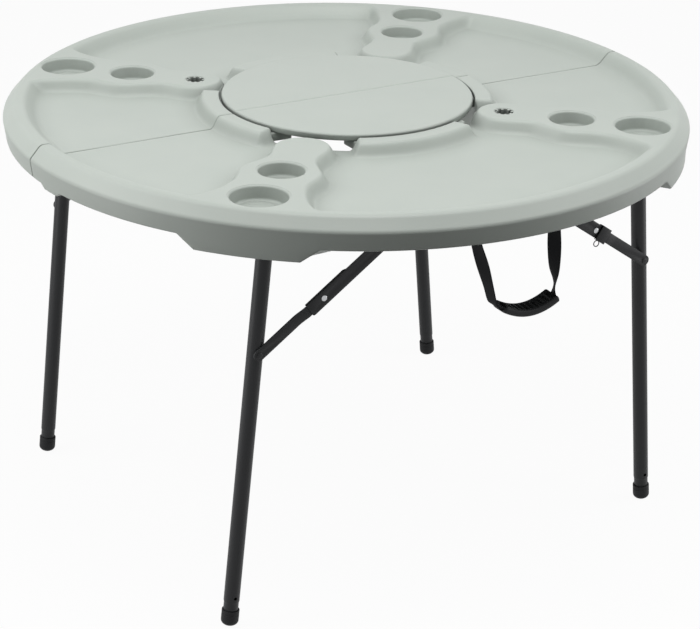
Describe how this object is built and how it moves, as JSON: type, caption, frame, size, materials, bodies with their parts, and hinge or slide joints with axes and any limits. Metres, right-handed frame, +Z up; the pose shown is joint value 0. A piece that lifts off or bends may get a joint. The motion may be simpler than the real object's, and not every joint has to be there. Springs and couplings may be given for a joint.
{
  "type": "round folding table",
  "caption": "Round folding table with a two-part moulded top, cup holders, a lift-out centre lid, folding steel legs with braces and a carry handle",
  "frame": {"origin": "on the floor under the middle of the top", "axes": "+Z up, X along the seam between the two halves, front half with the carry handle towards -Y"},
  "size_m": [1.22, 1.22, 0.766],
  "materials": {
    "moulded": "fine moulded grain",
    "powder": "satin powder coat",
    "zinc": "zinc plated",
    "rubber": "matte",
    "webbing": "woven"
  },
  "bodies": {
    "front_half": {"front_top": "moulded", "hinge_front_leaf_left": "powder", "hinge_front_leaf_right": "powder", "hinge_pin_left": "zinc", "hinge_pin_right": "zinc", "handle_anchor_left": "powder", "handle_anchor_right": "powder", "leg_bracket_front_left": "powder", "leg_pin_front_left": "zinc", "brace_bracket_front_left": "powder", "brace_pin_front_left": "zinc", "leg_bracket_front_right": "powder", "leg_pin_front_right": "zinc", "brace_bracket_front_right": "powder", "brace_pin_front_right": "zinc"},
    "back_half": {"back_top": "moulded", "hinge_back_leaf_left": "powder", "hinge_back_leaf_right": "powder", "leg_bracket_back_right": "powder", "leg_pin_back_right": "zinc", "brace_bracket_back_right": "powder", "brace_pin_back_right": "zinc", "leg_bracket_back_left": "powder", "leg_pin_back_left": "zinc", "brace_bracket_back_left": "powder", "brace_pin_back_left": "zinc"},
    "lid": {"lid": "moulded"},
    "handle": {"handle_strap": "webbing", "handle_grip": "rubber"},
    "leg_front_left": {"leg_tube_front_left": "powder", "foot_cap_front_left": "rubber"},
    "arm_front_left": {"brace_arm_front_left": "powder", "elbow_rivet_front_left": "zinc"},
    "strap_front_left": {"brace_strap_front_left": "powder", "leg_rivet_front_left": "powder"},
    "leg_front_right": {"leg_tube_front_right": "powder", "foot_cap_front_right": "rubber"},
    "arm_front_right": {"brace_arm_front_right": "powder", "elbow_rivet_front_right": "zinc"},
    "strap_front_right": {"brace_strap_front_right": "powder", "leg_rivet_front_right": "powder"},
    "lock_front_right": {"brace_lock_front_right": "powder"},
    "leg_back_right": {"leg_tube_back_right": "powder", "foot_cap_back_right": "rubber"},
    "arm_back_right": {"brace_arm_back_right": "powder", "elbow_rivet_back_right": "zinc"},
    "strap_back_right": {"brace_strap_back_right": "powder", "leg_rivet_back_right": "powder"},
    "leg_back_left": {"leg_tube_back_left": "powder", "foot_cap_back_left": "rubber"},
    "arm_back_left": {"brace_arm_back_left": "powder", "elbow_rivet_back_left": "zinc"},
    "strap_back_left": {"brace_strap_back_left": "powder", "leg_rivet_back_left": "powder"},
    "lock_back_left": {"brace_lock_back_left": "powder"}
  },
  "joints": [
    {"name": "half_fold", "type": "hinge", "parent": "front_half", "child": "back_half", "pos_m": [0, 0, 0.684], "axis": [-1, 0, 0], "range_deg": [0, 45]},
    {"name": "lid_lift", "type": "slide", "parent": "front_half", "child": "lid", "axis": [0, 0, 1], "range_m": [0, 0.25]},
    {"name": "handle_swing", "type": "hinge", "parent": "front_half", "child": "handle", "pos_m": [0, -0.55, 0.704], "axis": [1, 0, 0], "range_deg": [-40, 60]},
    {"name": "leg_front_left_fold", "type": "hinge", "parent": "front_half", "child": "leg_front_left", "pos_m": [-0.372, -0.3918, 0.698], "axis": [0, -1, 0], "range_deg": [0, 95.45]},
    {"name": "arm_front_left_swing", "type": "hinge", "parent": "front_half", "child": "arm_front_left", "pos_m": [-0.10666, -0.3918, 0.698], "axis": [0, 1, 0], "range_deg": [0, 35.01]},
    {"name": "elbow_front_left", "type": "hinge", "parent": "arm_front_left", "child": "strap_front_left", "pos_m": [-0.27559, -0.3918, 0.57971], "axis": [0, -1, 0], "range_deg": [0, 180.01]},
    {"name": "leg_front_right_fold", "type": "hinge", "parent": "front_half", "child": "leg_front_right", "pos_m": [0.39, -0.3502, 0.698], "axis": [0, 1, 0], "range_deg": [0, 95.45]},
    {"name": "arm_front_right_swing", "type": "hinge", "parent": "front_half", "child": "arm_front_right", "pos_m": [0.12466, -0.3502, 0.698], "axis": [0, -1, 0], "range_deg": [0, 35.01]},
    {"name": "elbow_front_right", "type": "hinge", "parent": "arm_front_right", "child": "strap_front_right", "pos_m": [0.29359, -0.3502, 0.57971], "axis": [0, 1, 0], "range_deg": [0, 180.01]},
    {"name": "lock_front_right_slide", "type": "slide", "parent": "arm_front_right", "child": "lock_front_right", "axis": [-0.8192, 0, 0.5736], "range_m": [0, 0.036]},
    {"name": "leg_back_right_fold", "type": "hinge", "parent": "back_half", "child": "leg_back_right", "pos_m": [0.372, 0.3918, 0.698], "axis": [0, 1, 0], "range_deg": [0, 95.45]},
    {"name": "arm_back_right_swing", "type": "hinge", "parent": "back_half", "child": "arm_back_right", "pos_m": [0.10666, 0.3918, 0.698], "axis": [0, -1, 0], "range_deg": [0, 35.01]},
    {"name": "elbow_back_right", "type": "hinge", "parent": "arm_back_right", "child": "strap_back_right", "pos_m": [0.27559, 0.3918, 0.57971], "axis": [0, 1, 0], "range_deg": [0, 180.01]},
    {"name": "leg_back_left_fold", "type": "hinge", "parent": "back_half", "child": "leg_back_left", "pos_m": [-0.39, 0.3502, 0.698], "axis": [0, -1, 0], "range_deg": [0, 95.45]},
    {"name": "arm_back_left_swing", "type": "hinge", "parent": "back_half", "child": "arm_back_left", "pos_m": [-0.12466, 0.3502, 0.698], "axis": [0, 1, 0], "range_deg": [0, 35.01]},
    {"name": "elbow_back_left", "type": "hinge", "parent": "arm_back_left", "child": "strap_back_left", "pos_m": [-0.29359, 0.3502, 0.57971], "axis": [0, -1, 0], "range_deg": [0, 180.01]},
    {"name": "lock_back_left_slide", "type": "slide", "parent": "arm_back_left", "child": "lock_back_left", "axis": [0.8192, 0, 0.5736], "range_m": [0, 0.036]}
  ],
  "couplings": [
    {"joint": "arm_front_left_swing", "follows": "leg_front_left_fold", "ratio": 0.36668},
    {"joint": "elbow_front_left", "follows": "leg_front_left_fold", "ratio": 1.8858},
    {"joint": "arm_front_right_swing", "follows": "leg_front_right_fold", "ratio": 0.36668},
    {"joint": "elbow_front_right", "follows": "leg_front_right_fold", "ratio": 1.8858},
    {"joint": "arm_back_right_swing", "follows": "leg_back_right_fold", "ratio": 0.36668},
    {"joint": "elbow_back_right", "follows": "leg_back_right_fold", "ratio": 1.8858},
    {"joint": "arm_back_left_swing", "follows": "leg_back_left_fold", "ratio": 0.36668},
    {"joint": "elbow_back_left", "follows": "leg_back_left_fold", "ratio": 1.8858}
  ]
}
